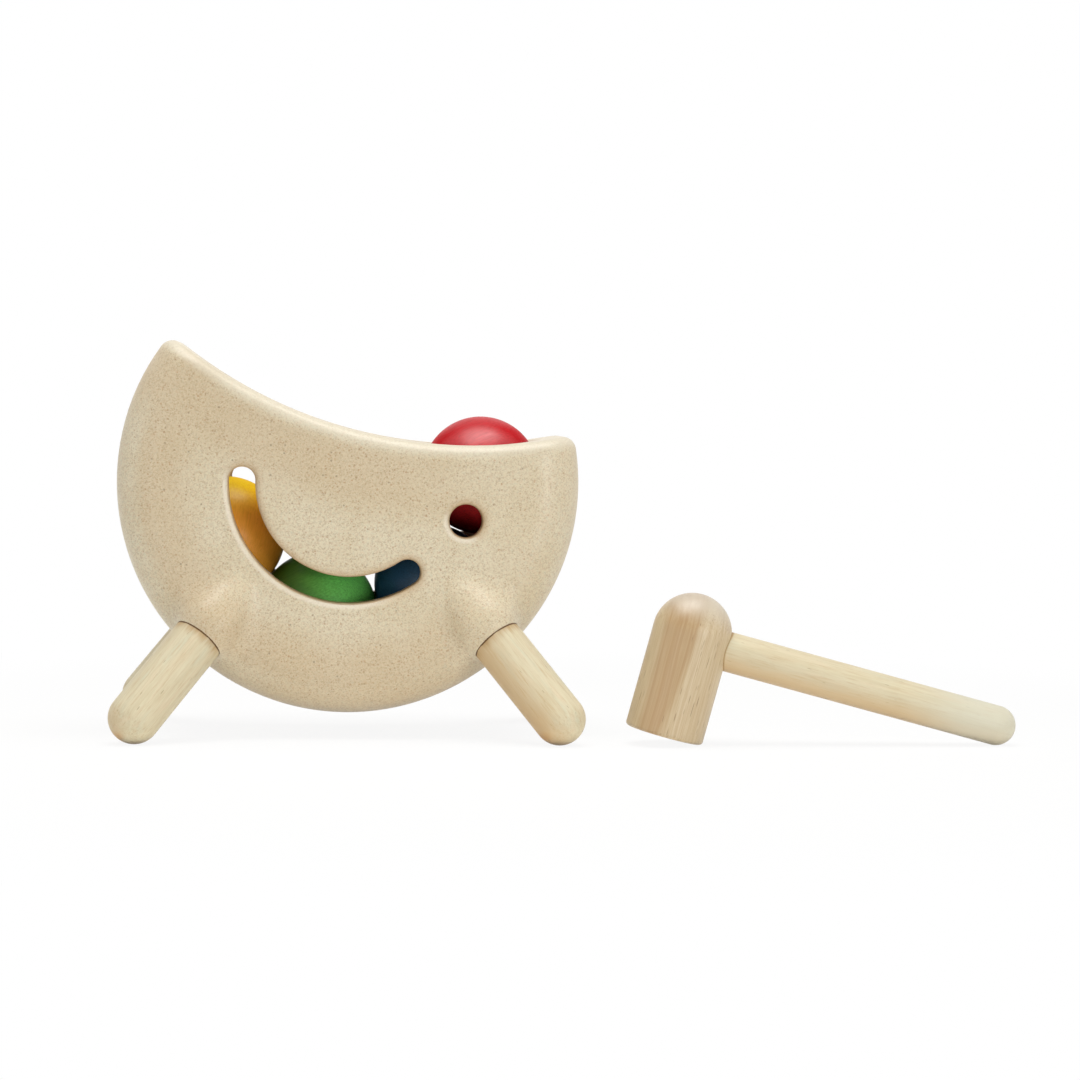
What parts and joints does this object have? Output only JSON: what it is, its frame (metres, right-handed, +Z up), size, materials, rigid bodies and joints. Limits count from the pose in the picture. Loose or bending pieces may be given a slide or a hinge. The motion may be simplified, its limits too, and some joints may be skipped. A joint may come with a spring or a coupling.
{
  "type": "ball pounding toy",
  "caption": "Round-bodied wooden pounding toy on splayed legs, with balls in a curved channel seen through a smile-shaped slot, and a loose hammer.",
  "frame": {"origin": "on the floor, under the middle of the box round the toy and its hammer", "axes": "+X to the right of the smiling front, towards the hammer; +Y towards the rear; +Z up"},
  "size_m": [0.4068, 0.1396, 0.1788],
  "materials": {
    "pressed_wood": "fine-grained pressed sawdust, smooth and matte",
    "rubberwood": "sanded pale hardwood dowel",
    "head_wood": "sanded pale hardwood",
    "red_paint": "wood stained and painted red, satin",
    "blue_paint": "wood stained and painted blue, satin",
    "green_paint": "wood stained and painted green, satin",
    "yellow_paint": "wood stained and painted yellow, satin"
  },
  "bodies": {
    "toy_body": {"body_front_half": "pressed_wood", "body_rear_half": "pressed_wood", "front_left_leg": "rubberwood", "front_right_leg": "rubberwood", "rear_left_leg": "rubberwood", "rear_right_leg": "rubberwood"},
    "red_ball": {"red_ball": "red_paint"},
    "blue_ball": {"blue_ball": "blue_paint"},
    "green_ball": {"green_ball": "green_paint"},
    "yellow_ball": {"yellow_ball": "yellow_paint"},
    "hammer": {"hammer_head": "head_wood", "hammer_handle": "rubberwood"}
  },
  "joints": [
    {"name": "red_ball_travel", "type": "hinge", "parent": "toy_body", "child": "red_ball", "pos_m": [-0.09767, 0, 0.11528], "axis": [0, 1, 0], "range_deg": [-33, 87]},
    {"name": "blue_ball_travel", "type": "hinge", "parent": "toy_body", "child": "blue_ball", "pos_m": [-0.09767, 0, 0.11528], "axis": [0, 1, 0], "range_deg": [-33, 87]},
    {"name": "green_ball_travel", "type": "hinge", "parent": "toy_body", "child": "green_ball", "pos_m": [-0.09767, 0, 0.11528], "axis": [0, 1, 0], "range_deg": [-33, 87]},
    {"name": "yellow_ball_travel", "type": "hinge", "parent": "toy_body", "child": "yellow_ball", "pos_m": [-0.09767, 0, 0.11528], "axis": [0, 1, 0], "range_deg": [-33, 87]},
    {"name": "hammer_lift", "type": "slide", "parent": "toy_body", "child": "hammer", "axis": [0, 0, 1], "range_m": [0, 0.2]}
  ],
  "couplings": [
    {"joint": "blue_ball_travel", "follows": "red_ball_travel", "ratio": 1},
    {"joint": "green_ball_travel", "follows": "red_ball_travel", "ratio": 1},
    {"joint": "yellow_ball_travel", "follows": "red_ball_travel", "ratio": 1}
  ]
}
